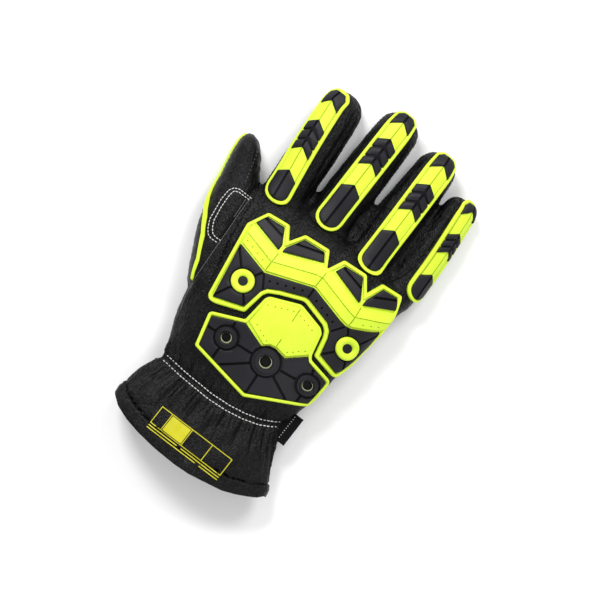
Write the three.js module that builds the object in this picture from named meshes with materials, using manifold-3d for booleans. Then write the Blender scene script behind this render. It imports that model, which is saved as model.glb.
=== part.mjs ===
// A right-hand impact glove in black leather, lying palm down with its back up.
// A cut and sewn leather shell, hollow from the cuff to the fingertips, carries moulded
// rubber guards on the back of the hand, on each finger and on the thumb.
// Millimetres, +Z up, +Y along the fingers, +X towards the little finger.
// The origin is on the resting face, under the middle of the hand.
import * as THREE from "three";
import { mergeVertices } from "three/addons/utils/BufferGeometryUtils.js";
import Module from "manifold-3d";

const wasm = await Module();
wasm.setup();

// Driving dimensions
const palmWidth = 115; // leather to leather across the knuckles
const handLength = 124; // wrist seam to the webs between the fingers
const handHeight = 40; // over the middle of the back
const fingerTall = 24; // height of the middle finger
const wall = 2; // leather and its lining
const panelGap = 0.3; // between two sewn panels
const seatGap = 0.4; // between the leather and what is sewn to it
const padGap = 0.5; // between a guard and its pads
const plateThick = 1.3; // floor of a moulded guard
const rimRise = 1.8; // rim above the floor
const padRise = 1.7; // pads above the floor
const rimWidth = 2.1;
const fingerGuardWidth = 17;
const ringRadius = 7.2;
const ringHole = 3;
const hemWidth = 9.5;
const hemProud = 0.6; // hem past the cuff, outside and inside
const patchThick = 1;
const tagLength = 20;
const tagWidth = 15;
const tagThick = 0.8;
const tagMiddleX = 43;
const tagMiddleY = -23.5; // in squares along the hand

// The back of the glove is drawn on a grid: 115 squares across palmWidth and 124 along handLength.
const across = (squares) => (squares * palmWidth) / 115;
const along = (squares) => (squares * handLength) / 124;
const tall = (share) => share * handHeight;

// Where the pieces meet, in squares along the hand
const webLine = 88;
const sideSeam = 0.3; // height of the seam round the hand, as a share of handHeight
const fourchetteLow = 0.2; // the strips between the fingers, as shares of fingerTall
const fourchetteHigh = 0.62;
const facetOff = 0.2; // how far a guard's facet may lie off its curve
const shortFacet = 4; // a facet's edge shorter than this isn't split
const longFacet = 40;

// Sections of the hand and its flared cuff: y, left and right edge in squares, and the top as a
// share of handHeight
const handRows = [
  { y: -92, left: -50, right: 58.5, top: 0.84 },
  { y: -74, left: -51.5, right: 59.5, top: 0.85 },
  { y: -62, left: -51.5, right: 59.5, top: 0.84 },
  { y: -50, left: -48, right: 53.5, top: 0.8 },
  { y: -38, left: -43, right: 46, top: 0.76 },
  { y: -27, left: -44.5, right: 40.5, top: 0.78 },
  { y: -12, left: -50.5, right: 43.5, top: 0.87 },
  { y: 5, left: -55, right: 47.3, top: 0.95 },
  { y: 25, left: -56.5, right: 49.5, top: 1 },
  { y: 45, left: -57, right: 51, top: 1 },
  { y: 62, left: -57.5, right: 53.5, top: 0.94 },
  { y: 76, left: -58, right: 56.5, top: 0.82 },
  { y: 90, left: -58, right: 58, top: 0.66 },
];
const thumbRows = [
  { y: 0, left: -47, right: -20, top: 0.68 },
  { y: 12, left: -56, right: -27, top: 0.76 },
  { y: 25, left: -63, right: -34, top: 0.77 },
  { y: 42, left: -71.8, right: -41, top: 0.74 },
  { y: 60, left: -77, right: -46, top: 0.69 },
  { y: 76, left: -79.8, right: -52, top: 0.63 },
  { y: 87, left: -81.6, right: -61, top: 0.58 },
  { y: 96, left: -82.8, right: -67, top: 0.55 },
  { y: 105.5, left: -84, right: -73, top: 0.52 },
];

// Fingers: axis at the root and tip and the widths there in squares across, tip in squares along,
// height as a share of fingerTall, roll of the guard in degrees, and the guard's parts in squares along
const fingers = [
  {
    name: "index", rootX: -42, tipX: -48, tipY: 163.8, base: 28.5, middle: 28, tip: 22.5,
    tall: 0.96, roll: -20,
    guard: { start: 79.5, padTop: 101.8, chevronLow: 112.5, chevronHigh: 137, tipPad: 146 },
  },
  {
    name: "middle", rootX: -12.5, tipX: -12.6, tipY: 173.3, base: 27.2, middle: 29.3, tip: 27.2,
    tall: 1, roll: -1,
    guard: { start: 85.7, padTop: 118.8, chevronLow: 130.2, chevronHigh: 154.5, tipPad: 161.3 },
  },
  {
    name: "ring", rootX: 21, tipX: 20.3, tipY: 168.5, base: 27, middle: 29.3, tip: 25.5,
    tall: 0.98, roll: 9,
    guard: { start: 81.2, padTop: 112, chevronLow: 123.3, chevronHigh: 147.3, tipPad: 155.5 },
  },
  {
    name: "little", rootX: 49, tipX: 45.8, tipY: 154.5, base: 22.5, middle: 22.5, tip: 19,
    tall: 0.86, roll: 46,
    guard: { start: 84.5, padTop: 105, chevronLow: 117, chevronHigh: 135, tipPad: 144.5 },
  },
];
const fingerRoot = 70; // where a finger starts inside the hand

// Outlines on the back of the glove, in squares, seen from above
const knuckleOutline = [
  [-39.5, 9.3], [-36, 9.6], [-18.3, 16.6], [-16, 31.5], [-14.3, 34.3], [-8, 37.8], [5.4, 43.6],
  [7.4, 43.6], [23.5, 39.5], [26.3, 37.4], [28, 34.2], [30.8, 21.5], [47, 18.3], [49.8, 19.4],
  [52, 24], [56, 33], [58.5, 46], [57.5, 60], [55.7, 70], [50.4, 83], [37.2, 81.6], [32.8, 71],
  [26, 80], [10, 78.6], [5, 67.8], [-0.8, 78], [-17.8, 76.2], [-23.4, 66.8], [-29, 75],
  [-43.4, 73.2], [-49.4, 60], [-41.8, 11.5],
];
const shieldOutline = [
  [-34.8, 3], [-33.6, 4.9], [-15.2, 13.4], [-13.6, 30.8], [-12, 33.4], [5.4, 41.1], [7.6, 41.1],
  [23.4, 37.4], [26.2, 35], [29.4, 20.8], [31, 18.6], [46.6, 15.6], [48.6, 13.4], [48.2, 0],
  [47, -5.2], [12, -24.6], [-29.4, -18],
];
const knucklePads = [
  [[-44.6, 63.9], [-43, 69.4], [-41.4, 71], [-30.5, 71.9], [-24.6, 61.6], [-24.6, 58.9]],
  [[-22.6, 59.4], [-22.6, 61.4], [-16.2, 73.7], [-3.6, 75], [0.9, 69.6]],
  [[9.8, 69.8], [13.6, 76], [26.2, 77.6], [32.4, 66.6], [32.4, 63.4]],
  [[34.8, 63.4], [34.8, 66.8], [39.4, 79], [49.2, 80.2], [52.4, 72.2]],
];
const knuckleField = [
  [-38.6, 12.2], [-20.6, 18.9], [-18.4, 32], [-16.4, 35.8], [-9.2, 40], [5.4, 46.3], [7.6, 46.3],
  [24.6, 42.2], [28.6, 38.9], [30.5, 34.8], [32.8, 24.2], [47, 21.2], [49.4, 24], [53.5, 34],
  [56, 46], [54.6, 57.6], [37.2, 48], [34, 47.6], [6.4, 53.9], [-22.8, 42.4], [-43, 48], [-45.4, 47.2],
];
const shieldField = [
  [-32.2, 2.4], [-12.4, 13.2], [2.6, 6.6], [10, 9.6], [17, 9.4], [28.2, 19.2], [31.4, 16.2],
  [45.8, 13.4], [46.2, 12], [45.8, -3.8], [11.6, -22.2], [-28, -16],
];
const rings = [
  { name: "ring_left", x: -30.3, y: 30.8 },
  { name: "ring_right", x: 43.4, y: 37.3 },
];
const bosses = [
  { name: "boss_1", x: -17.3, y: -2.4, radius: 6.6, hole: 3.2 },
  { name: "boss_2", x: 10, y: 0.6, radius: 8.4, hole: 3.8 },
  { name: "boss_3", x: 38, y: 4.7, radius: 6.6, hole: 3.2 },
];
const bossGap = 0.7; // round each ring and boss
const patchOutline = [
  [-56.5, 40.5], [-64, 40.5], [-68.5, 46], [-70.5, 56], [-70.7, 66], [-68, 71.5], [-58.5, 72.5],
];
// The wrist seam and the hem's edges run across the glove, in squares
const wristSeam = [[-80, -36], [0, -36.5], [12, -35.2], [22, -32.4], [32, -28.4], [40, -22.6], [70, -22.6]];
const hemEdge = [
  [-80, -70], [-52, -70], [-44, -77], [-25, -82], [5, -84.3], [25, -82], [45, -75.5], [60, -66], [80, -66],
];

// Materials
const leather = new THREE.MeshStandardMaterial({ color: 0x17171a, roughness: 0.62, metalness: 0 });
const yellow = new THREE.MeshStandardMaterial({ color: 0xd8f01e, roughness: 0.5, metalness: 0 });
const black = new THREE.MeshStandardMaterial({ color: 0x232326, roughness: 0.55, metalness: 0 });
const woven = new THREE.MeshStandardMaterial({ color: 0x0a0a0b, roughness: 0.85, metalness: 0 });

const glove = new THREE.Group();

// A smooth curve through one column of a table of rows, at y
function column(rows, key, y) {
  const last = rows.length - 2;
  let i = 0;
  while (i < last && y > rows[i + 1].y) i += 1;
  const [a, b] = [rows[i], rows[i + 1]];
  const slope = (p, q) => (q[key] - p[key]) / (q.y - p.y);
  const here = slope(a, b);
  const into = i > 0 ? (slope(rows[i - 1], a) + here) / 2 : here;
  const out = i < last ? (here + slope(b, rows[i + 2])) / 2 : here;
  const span = b.y - a.y;
  const t = Math.min(Math.max((y - a.y) / span, 0), 1);
  return (
    a[key] * (2 * t ** 3 - 3 * t ** 2 + 1) +
    span * into * (t ** 3 - 2 * t ** 2 + t) +
    b[key] * (3 * t ** 2 - 2 * t ** 3) +
    span * out * (t ** 3 - t ** 2)
  );
}

// A lobe is a rounded form along Y: section(y) gives its middle and half sizes, and it closes in a
// round end of length round before y = end.
const flatShare = 0.93; // of the half height, so that the underside is cut flat at z = 0
function rowsLobe(rows, end, round) {
  const section = (y) => {
    const at = Math.min(y / along(1), rows[rows.length - 1].y);
    const left = across(column(rows, "left", at));
    const right = across(column(rows, "right", at));
    const h = tall(column(rows, "top", at)) / (1 + flatShare);
    return { x: (left + right) / 2, w: (right - left) / 2, h, z: h * flatShare };
  };
  return { section, start: along(rows[0].y), end, round };
}

function fingerLobe(f) {
  const [root, tip] = [along(fingerRoot), along(f.tipY)];
  const rows = [
    { y: 0, wide: f.base * 0.6, tall: 0.8 },
    { y: 0.09, wide: f.base * 0.9, tall: 1 },
    { y: 0.2, wide: f.base, tall: 1.03 },
    { y: 0.52, wide: f.middle, tall: 1 },
    { y: 0.88, wide: f.tip, tall: 0.86 },
    { y: 1, wide: f.tip * 0.94, tall: 0.8 },
  ];
  const round = across(f.tip) * 0.48;
  const section = (y) => {
    const t = (y - root) / (tip - root);
    const h = (column(rows, "tall", t) * f.tall * fingerTall) / (1 + flatShare);
    return {
      x: across(f.rootX + (f.tipX - f.rootX) * t),
      w: across(column(rows, "wide", t)) / 2,
      h,
      z: h * flatShare,
    };
  };
  return { section, start: root, end: tip, round };
}

const handLobe = rowsLobe(handRows, along(webLine + 4), along(13));
const thumbLobe = rowsLobe(thumbRows, along(105.5), along(10.5));
const fingerLobes = fingers.map(fingerLobe);

// How far the round end has closed at y: 1 along the lobe and 0 at its end
const endPower = 2.3;
function closing(lobe, y, grow) {
  const round = lobe.round + grow;
  const past = Math.min(Math.max(y - lobe.end + lobe.round, 0) / round, 1);
  return (1 - past ** endPower) ** (1 / endPower);
}

// Under 0 inside the lobe
function lobeValue(lobe, x, y, z) {
  if (y < lobe.start) return 1;
  const s = lobe.section(y);
  const past = Math.max(y - lobe.end + lobe.round, 0) / lobe.round;
  const level = Math.hypot((x - s.x) / s.w, (z - s.z) / s.h);
  return (level ** endPower + past ** endPower) ** (1 / endPower) - 1;
}
const skinLobes = [handLobe, ...fingerLobes];
const skinValue = (x, y, z) => Math.min(...skinLobes.map((lobe) => lobeValue(lobe, x, y, z)));

function solidOf(geometry) {
  for (const name of Object.keys(geometry.attributes)) {
    if (name !== "position") geometry.deleteAttribute(name);
  }
  const merged = mergeVertices(geometry, 1e-3);
  return new wasm.Manifold(
    new wasm.Mesh({
      numProp: 3,
      vertProperties: new Float32Array(merged.attributes.position.array),
      triVerts: new Uint32Array(merged.index.array),
    }),
  );
}

function geometryOf(solid) {
  const made = solid.getMesh();
  return new THREE.BufferGeometry()
    .setAttribute("position", new THREE.BufferAttribute(made.vertProperties, 3))
    .setIndex(new THREE.BufferAttribute(made.triVerts, 1));
}

function add(name, material, solid) {
  const mesh = new THREE.Mesh(geometryOf(solid), material);
  mesh.name = name;
  glove.add(mesh);
}

// The solid of a lobe grown by grow, as rings of points joined by triangles
function loft(lobe, grow, sides, steps, from = lobe.start) {
  const straight = lobe.end - lobe.round;
  const stations = [];
  for (let i = 0; i <= steps; i += 1) stations.push(from + ((straight - from) * i) / steps);
  for (const share of [0.4, 0.68, 0.87, 0.97]) stations.push(straight + (lobe.round + grow) * share);
  const points = [];
  for (const y of stations) {
    const s = lobe.section(y);
    const q = closing(lobe, y, grow);
    for (let k = 0; k < sides; k += 1) {
      const a = (2 * Math.PI * k) / sides;
      points.push(s.x + (s.w + grow) * q * Math.sin(a), y, s.z + (s.h + grow) * q * Math.cos(a));
    }
  }
  const tip = lobe.section(lobe.end);
  points.push(tip.x, lobe.end + grow, tip.z);
  const first = lobe.section(from);
  points.push(first.x, from, first.z);
  const faces = [];
  for (let i = 0; i + 1 < stations.length; i += 1)
    for (let k = 0; k < sides; k += 1) {
      const [a, b] = [i * sides + k, i * sides + ((k + 1) % sides)];
      faces.push(a, b, a + sides, b, b + sides, a + sides);
    }
  const lastRing = (stations.length - 1) * sides;
  const tipPoint = points.length / 3 - 2;
  const firstPoint = points.length / 3 - 1;
  for (let k = 0; k < sides; k += 1) {
    const next = (k + 1) % sides;
    faces.push(lastRing + k, lastRing + next, tipPoint, next, k, firstPoint);
  }
  const attribute = new THREE.Float32BufferAttribute(points, 3);
  return new THREE.BufferGeometry().setAttribute("position", attribute).setIndex(faces);
}

const farBelow = -60;
const farAbove = 120;
function prism(points, low = farBelow, high = farAbove) {
  const shape = new THREE.Shape(points.map(([x, y]) => new THREE.Vector2(x, y)));
  const geometry = new THREE.ExtrudeGeometry(shape, { depth: high - low, bevelEnabled: false });
  return solidOf(geometry.translate(0, 0, low));
}
const wide = along(400);
const slab = (low, high) =>
  prism([[-wide, -wide], [wide, -wide], [wide, wide], [-wide, wide]], low, high);
const onGrid = (points) => points.map(([x, y]) => [across(x), along(y)]);
const flatCut = (solid, low) => solid.intersect(slab(low, farAbove));

// Hand and fingers as one solid, grown by grow and cut flat underneath
const handSides = 28;
const fingerSides = 14;
function body(grow, low) {
  let made = solidOf(loft(handLobe, grow, handSides, 13));
  for (const lobe of fingerLobes) made = made.add(solidOf(loft(lobe, grow, fingerSides, 4)));
  return flatCut(made, low);
}
const thumbSolid = (grow, low) => flatCut(solidOf(loft(thumbLobe, grow, fingerSides, 8)), low);

const outer = body(0, 0);
const hollow = body(-wall, wall).add(thumbSolid(-wall, wall));
const shell = outer.subtract(hollow);

// Everything on the cuff's side of a line that runs across the glove
const cuffSide = (line, shift) =>
  prism([...onGrid(line).map(([x, y]) => [x, y + shift]), [wide, -wide], [-wide, -wide]]);
const trimmed = cuffSide(hemEdge, 0);
const hemTop = cuffSide(hemEdge, hemWidth);
const hand = shell.subtract(cuffSide(wristSeam, panelGap / 2));
const cuffEnd = cuffSide(hemEdge, hemWidth + panelGap);
const cuff = shell.intersect(cuffSide(wristSeam, -panelGap / 2)).subtract(cuffEnd);
const hemWall = body(hemProud, 0).subtract(body(-wall - hemProud, wall + hemProud));
const hem = hemWall.intersect(hemTop).subtract(trimmed);

// The strips between neighbouring fingers run from tip to tip round the web
const webBack = along(webLine - 7);
function between(a, b, spread) {
  const axis = (f, y) => across(f.rootX + ((f.tipX - f.rootX) * (y - fingerRoot)) / (f.tipY - fingerRoot));
  const corners = [
    [axis(a, webLine) - spread, webBack],
    [axis(b, webLine) + spread, webBack],
    [axis(b, b.tipY) + spread, along(b.tipY) + wide / 10],
    [axis(a, a.tipY) - spread, along(a.tipY) + wide / 10],
  ];
  const inset = spread === 0 ? 0 : panelGap;
  return prism(corners, fourchetteLow * fingerTall - inset, fourchetteHigh * fingerTall + inset);
}
const pairs = fingers.slice(1).map((b, i) => [fingers[i], b]);
// Neighbouring strips part at the middle of the finger that they share
const strips = pairs.map(([a, b]) => hand.intersect(between(a, b, 0)));
const seamHeight = tall(sideSeam);
let upper = hand.intersect(slab(seamHeight + panelGap / 2, farAbove));
let lower = hand.intersect(slab(farBelow, seamHeight - panelGap / 2));
for (const [a, b] of pairs) {
  upper = upper.subtract(between(a, b, panelGap));
  lower = lower.subtract(between(a, b, panelGap));
}
const largest = (solid) => solid.decompose().sort((a, b) => b.volume() - a.volume())[0];
const halfGap = (solid, f) => {
  const axis = (y) => across(f.rootX + ((f.tipX - f.rootX) * (y - fingerRoot)) / (f.tipY - fingerRoot));
  const line = [
    [axis(fingerRoot) - panelGap / 2, along(fingerRoot)],
    [axis(fingerRoot) + panelGap / 2, along(fingerRoot)],
    [axis(f.tipY) + panelGap / 2, along(f.tipY) + wall],
    [axis(f.tipY) - panelGap / 2, along(f.tipY) + wall],
  ];
  return solid.subtract(prism(line));
};
add("back_panel", leather, largest(upper));
add("palm_panel", leather, largest(lower));
strips.forEach((strip, i) => {
  const [a, b] = pairs[i];
  add(`fourchette_${a.name}_${b.name}`, leather, largest(halfGap(halfGap(strip, a), b)));
});
const thumbShell = thumbSolid(0, 0).subtract(hollow).subtract(body(panelGap, -1));
add("thumb_panel", leather, largest(thumbShell));
add("cuff", leather, largest(cuff));
add("cuff_hem", leather, largest(hem));

// A chart turns a place on the drawing into a point on the leather and the direction out of it.
// On the hand, x is as seen from above up to the shoulder, and then goes on round the side.
const shoulder = Math.PI / 3;
function handChart(x, y) {
  const s = handLobe.section(y);
  const share = (x - s.x) / s.w;
  const edge = Math.sin(shoulder);
  const angle =
    Math.abs(share) < edge
      ? Math.asin(share)
      : Math.sign(share) * (shoulder + (Math.abs(share) - edge) / Math.cos(shoulder));
  const normal = new THREE.Vector3(Math.sin(angle) / s.w, 0, Math.cos(angle) / s.h).normalize();
  return { point: new THREE.Vector3(s.x + s.w * Math.sin(angle), y, s.z + s.h * Math.cos(angle)), normal };
}

// On a finger, x is the distance round it from the guard's middle, and y goes on over the fingertip.
const fingerChart = (f, lobe) => (x, y) => {
  const straight = lobe.end - lobe.round;
  const s = lobe.section(Math.min(y, straight));
  const angle = THREE.MathUtils.degToRad(f.roll) + x / s.w;
  const over = Math.max(y - straight, 0) / lobe.round;
  const out = new THREE.Vector3(s.w * Math.sin(angle), 0, s.h * Math.cos(angle));
  const point = new THREE.Vector3(s.x, Math.min(y, straight), s.z)
    .addScaledVector(out, Math.cos(over))
    .add(new THREE.Vector3(0, lobe.round * Math.sin(over), 0));
  const side = new THREE.Vector3(Math.sin(angle) / s.w, 0, Math.cos(angle) / s.h).normalize();
  const normal = side.multiplyScalar(Math.cos(over)).add(new THREE.Vector3(0, Math.sin(over), 0)).normalize();
  return { point, normal };
};

// The thumb's guard lies along its outer side: x is the height up the side
const thumbGuardHeight = 0.3; // of the thumb's own height
const thumbChart = (x, y) => {
  const s = thumbLobe.section(Math.min(y, thumbLobe.end - thumbLobe.round));
  const over = Math.max(y - thumbLobe.end + thumbLobe.round, 0) / thumbLobe.round;
  const angle = -Math.PI / 2 + (x + (thumbGuardHeight - 0.5) * s.h) / s.h;
  const out = new THREE.Vector3(s.w * Math.sin(angle), 0, s.h * Math.cos(angle));
  const base = new THREE.Vector3(s.x, Math.min(y, thumbLobe.end - thumbLobe.round), s.z);
  const point = base
    .addScaledVector(out, Math.cos(over))
    .add(new THREE.Vector3(0, thumbLobe.round * Math.sin(over), 0));
  const side = new THREE.Vector3(Math.sin(angle) / s.w, 0, Math.cos(angle) / s.h).normalize();
  const normal = side.multiplyScalar(Math.cos(over)).add(new THREE.Vector3(0, Math.sin(over), 0)).normalize();
  return { point, normal };
};

// Moves a chart's point along its normal until it lies on the leather
const reach = 9;
function settle({ point, normal }, value) {
  const at = (d) => value(point.x + normal.x * d, point.y + normal.y * d, point.z + normal.z * d);
  const steps = [16, 12, reach, 6, 4, 2.5, 1.5, 0.8, 0.4, 0.15, 0, -0.5, -1, -2, -3.5, -5, -7, -reach];
  const found = steps.findIndex((d) => at(d) < 0);
  let [out, inside] = found < 0 ? [-reach, -reach] : [steps[Math.max(found - 1, 0)], steps[found]];
  for (let i = 0; i < 10; i += 1) {
    const middle = (out + inside) / 2;
    if (at(middle) > 0) out = middle;
    else inside = middle;
  }
  return point.clone().addScaledVector(normal, out);
}

// Lays a geometry's points with seat, splitting every edge whose middle would lie off the laid edge.
// A triangle with a split edge has its longest edge split too, so that none grows thin.
function refine(geometry, seat) {
  const merged = mergeVertices(geometry, 1e-3);
  const points = [];
  const laid = [];
  const push = (v) => {
    laid.push(seat(v));
    return points.push(v) - 1;
  };
  for (let i = 0; i < merged.attributes.position.count; i += 1)
    push(new THREE.Vector3().fromBufferAttribute(merged.attributes.position, i));
  const key = ([a, b]) => Math.min(a, b) * 1e6 + Math.max(a, b);
  const length = ([a, b]) => points[a].distanceTo(points[b]);
  const centreOf = ([a, b]) => points[a].clone().add(points[b]).multiplyScalar(0.5);
  const known = new Map();
  const needs = (edge) => {
    if (!known.has(key(edge))) {
      const between = laid[edge[0]].clone().add(laid[edge[1]]).multiplyScalar(0.5);
      const long = length(edge);
      const off = () => seat(centreOf(edge)).distanceTo(between) > facetOff;
      known.set(key(edge), long > longFacet || (long > shortFacet && off()));
    }
    return known.get(key(edge));
  };
  const corners = Array.from(merged.index.array);
  let faces = Array.from({ length: corners.length / 3 }, (_, i) => corners.slice(3 * i, 3 * i + 3));
  for (let splits = 1; splits > 0; ) {
    const middles = new Map();
    const split = (edge) => {
      if (!middles.has(key(edge))) middles.set(key(edge), push(centreOf(edge)));
    };
    const rings = faces.map(([a, b, c]) => {
      const edges = [[a, b], [b, c], [c, a]];
      const longest = edges.reduce((best, edge, k) => (length(edge) > length(edges[best]) ? k : best), 0);
      return [0, 1, 2].map((k) => edges[(longest + k) % 3]);
    });
    for (const edges of rings) edges.filter(needs).forEach(split);
    for (let before = -1; before !== middles.size; ) {
      before = middles.size;
      for (const edges of rings) if (edges.some((edge) => middles.has(key(edge)))) split(edges[0]);
    }
    faces = rings.flatMap((edges) => {
      const centre = middles.get(key(edges[0]));
      if (centre === undefined) return [edges.map(([a]) => a)];
      const round = edges
        .flatMap((edge) => [edge[0], middles.get(key(edge))])
        .filter((v) => v !== undefined);
      const rest = [...round.slice(2), round[0]];
      return rest.slice(1).map((v, k) => [centre, rest[k], v]);
    });
    splits = middles.size;
  }
  const attribute = new THREE.Float32BufferAttribute(laid.flatMap((v) => v.toArray()), 3);
  return new THREE.BufferGeometry().setAttribute("position", attribute).setIndex(faces.flat());
}

// The outline's points, running anticlockwise
function turned(outline) {
  const points = outline.map(([x, y]) => new THREE.Vector2(x, y));
  return THREE.ShapeUtils.area(points) < 0 ? points.reverse() : points;
}

// A plate before it is laid: level 0 is its underside, 1 the top of its floor and 2 the top of a rim
function flat(outline, level = 1, holes = []) {
  const shape = new THREE.Shape(turned(outline));
  for (const hole of holes) shape.holes.push(new THREE.Path(turned(hole)));
  return solidOf(new THREE.ExtrudeGeometry(shape, { depth: level, bevelEnabled: false }));
}

// Lays a flat plate on the leather; heights gives the height of each of its levels above it
function lay(chart, value, plate, heights) {
  const seat = (v) => {
    const spot = chart(v.x, v.y);
    const step = Math.min(Math.floor(v.z), heights.length - 2);
    const height = THREE.MathUtils.lerp(heights[step], heights[step + 1], v.z - step);
    return settle(spot, value).addScaledVector(spot.normal, height);
  };
  return solidOf(refine(geometryOf(plate), seat));
}

// The outline moved inwards by inset, each edge parallel to itself
function shrink(outline, inset) {
  const n = outline.length;
  const area = outline.reduce((sum, [x, y], i) => {
    const [u, v] = outline[(i + 1) % n];
    return sum + x * v - u * y;
  }, 0);
  const turn = Math.sign(area);
  return outline.map(([x, y], i) => {
    const [before, after] = [outline[(i + n - 1) % n], outline[(i + 1) % n]];
    const into = new THREE.Vector2(x - before[0], y - before[1]).normalize();
    const out = new THREE.Vector2(after[0] - x, after[1] - y).normalize();
    const [m, p] = [new THREE.Vector2(-into.y, into.x), new THREE.Vector2(-out.y, out.x)];
    const half = m.clone().add(p).normalize();
    const reachIn = (turn * inset) / Math.max(half.dot(m), 0.35);
    return [x + half.x * reachIn, y + half.y * reachIn];
  });
}

const circle = (x, y, radius, sides = 20) =>
  Array.from({ length: sides }, (_, k) => {
    const a = (2 * Math.PI * k) / sides;
    return [x + radius * Math.cos(a), y + radius * Math.sin(a)];
  });

const floorTop = seatGap + plateThick;
const padLow = floorTop + padGap;
const padHigh = floorTop + padRise;
const rimTop = floorTop + rimRise;

// A guard is a floor with a rim round its edge
const rimmed = (outline) => flat(outline).add(flat(outline, 2, [shrink(outline, rimWidth)]));
const guardHeights = [seatGap, floorTop, rimTop];
const padHeights = [padLow, padHigh];
const ringHeights = [padLow, rimTop];

// Guards on the back of the hand
const onHand = (name, material, plate, heights) =>
  add(name, material, lay(handChart, skinValue, plate, heights));
const grown = (item, radius) => circle(across(item.x), along(item.y), radius);
const cutAll = (plate, outlines) => outlines.reduce((left, hole) => left.subtract(prism(hole)), plate);
const padClear = rimWidth + 0.3;
onHand("knuckle_guard", yellow, rimmed(onGrid(knuckleOutline)), guardHeights);
const within = (outline, pad) => flat(onGrid(pad)).intersect(prism(shrink(onGrid(outline), padClear)));
knucklePads.forEach((pad, i) => {
  onHand(`knuckle_pad_${i + 1}`, black, within(knuckleOutline, pad), padHeights);
});
const ringHoles = rings.map((ring) => grown(ring, ringRadius + bossGap));
onHand("knuckle_field", black, cutAll(within(knuckleOutline, knuckleField), ringHoles), padHeights);
for (const ring of rings) {
  onHand(ring.name, yellow, flat(grown(ring, ringRadius), 1, [grown(ring, ringHole)]), ringHeights);
}
onHand("shield_guard", yellow, rimmed(onGrid(shieldOutline)), guardHeights);
const bossHoles = bosses.map((boss) => grown(boss, boss.radius + bossGap));
onHand("shield_field", black, cutAll(within(shieldOutline, shieldField), bossHoles), padHeights);
for (const boss of bosses) {
  onHand(boss.name, black, flat(grown(boss, boss.radius), 1, [grown(boss, boss.hole)]), ringHeights);
}

// Guards on the fingers: a long plate with a round base, a base pad, three chevrons and a tip pad
const guardOver = 1.45; // how far the guard goes round the fingertip, in radians
const chevronCount = 3;
const chevronGap = 0.8;
const chevronPoint = 4.6;
const corner = 3; // cut off a guard's corners at the fingertip
fingers.forEach((f, i) => {
  const lobe = fingerLobes[i];
  const put = (part, material, plate, heights) =>
    add(`${f.name}_${part}`, material, lay(fingerChart(f, lobe), skinValue, plate, heights));
  const half = (fingerGuardWidth / 2) * Math.min(1, f.middle / 24);
  const g = Object.fromEntries(Object.entries(f.guard).map(([key, squares]) => [key, along(squares)]));
  const top = lobe.end - lobe.round + lobe.round * guardOver;
  const bow = (width) =>
    [0, 0.25, 0.5, 0.75, 1].map((share) => {
      const a = Math.PI * (1 + share);
      return [width * Math.cos(a), g.start + half + width * Math.sin(a)];
    });
  const tipCorners = [
    [half, top - corner], [half - corner, top], [corner - half, top], [-half, top - corner],
  ];
  const outline = [...bow(half), ...tipCorners];
  put("guard", yellow, rimmed(outline), guardHeights);
  const side = half - padClear;
  const notch = (y) => [[-side, y], [0, y + chevronPoint], [side, y]];
  put("base_pad", black, flat([...bow(side), ...notch(g.padTop - chevronPoint).reverse()]), padHeights);
  const pitch = (g.chevronHigh - chevronPoint - g.chevronLow + chevronGap) / chevronCount;
  for (let k = 0; k < chevronCount; k += 1) {
    const low = g.chevronLow + k * pitch;
    const plate = flat([...notch(low), ...notch(low + pitch - chevronGap).reverse()]);
    put(`chevron_${k + 1}`, black, plate, padHeights);
  }
  const end = top - padClear;
  const tipEnd = [[side, end - 2], [side - 2, end], [2 - side, end], [-side, end - 2]];
  put("tip_pad", black, flat([...notch(g.tipPad), ...tipEnd]), padHeights);
});

// The thumb's guard, a narrow strip up its outer side
const thumbGuard = { low: 12, high: 97, half: 5.5, end: 9 };
const thumbValue = (x, y, z) => Math.min(lobeValue(thumbLobe, x, y, z), skinValue(x, y, z));
const [stripLow, stripHigh] = [along(thumbGuard.low), along(thumbGuard.high)];
const stripSide = [
  [thumbGuard.half / 2, stripLow], [thumbGuard.half, stripLow + thumbGuard.end],
  [thumbGuard.half, stripHigh - thumbGuard.end], [thumbGuard.half / 2, stripHigh],
];
const stripOutline = [...stripSide, ...stripSide.map(([x, y]) => [-x, y]).reverse()];
add("thumb_guard", yellow, lay(thumbChart, thumbValue, rimmed(stripOutline), guardHeights));

// The patch over the crotch of the thumb, seated on the thumb from above
const fromAbove = (x, y) => ({
  point: new THREE.Vector3(x, y, tall(0.7)),
  normal: new THREE.Vector3(0, 0, 1),
});
const thumbOnly = (x, y, z) => lobeValue(thumbLobe, x, y, z);
const patch = lay(fromAbove, thumbOnly, flat(onGrid(patchOutline)), [seatGap, seatGap + patchThick]);
add("thumb_patch", leather, largest(patch.subtract(body(seatGap, -1))));

// The woven tag in the wrist's side seam, lying flat beside it
const tag = new THREE.BoxGeometry(tagWidth, tagLength, tagThick);
tag.translate(tagMiddleX, along(tagMiddleY), tall(0.42));
add("side_tag", woven, largest(solidOf(tag).subtract(body(seatGap, -1))));

export default glove;
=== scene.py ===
# A right-hand impact glove in black leather, lying palm down on a pale floor.
# Sizes are in millimetres on the glove's own axes: x towards the little finger, y along the
# fingers, z up out of the back of the hand. Meshes, lights and the camera are in metres.
import math

import bpy
import numpy as np
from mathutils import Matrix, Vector
from mathutils.bvhtree import BVHTree
from mathutils.geometry import delaunay_2d_cdt


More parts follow.
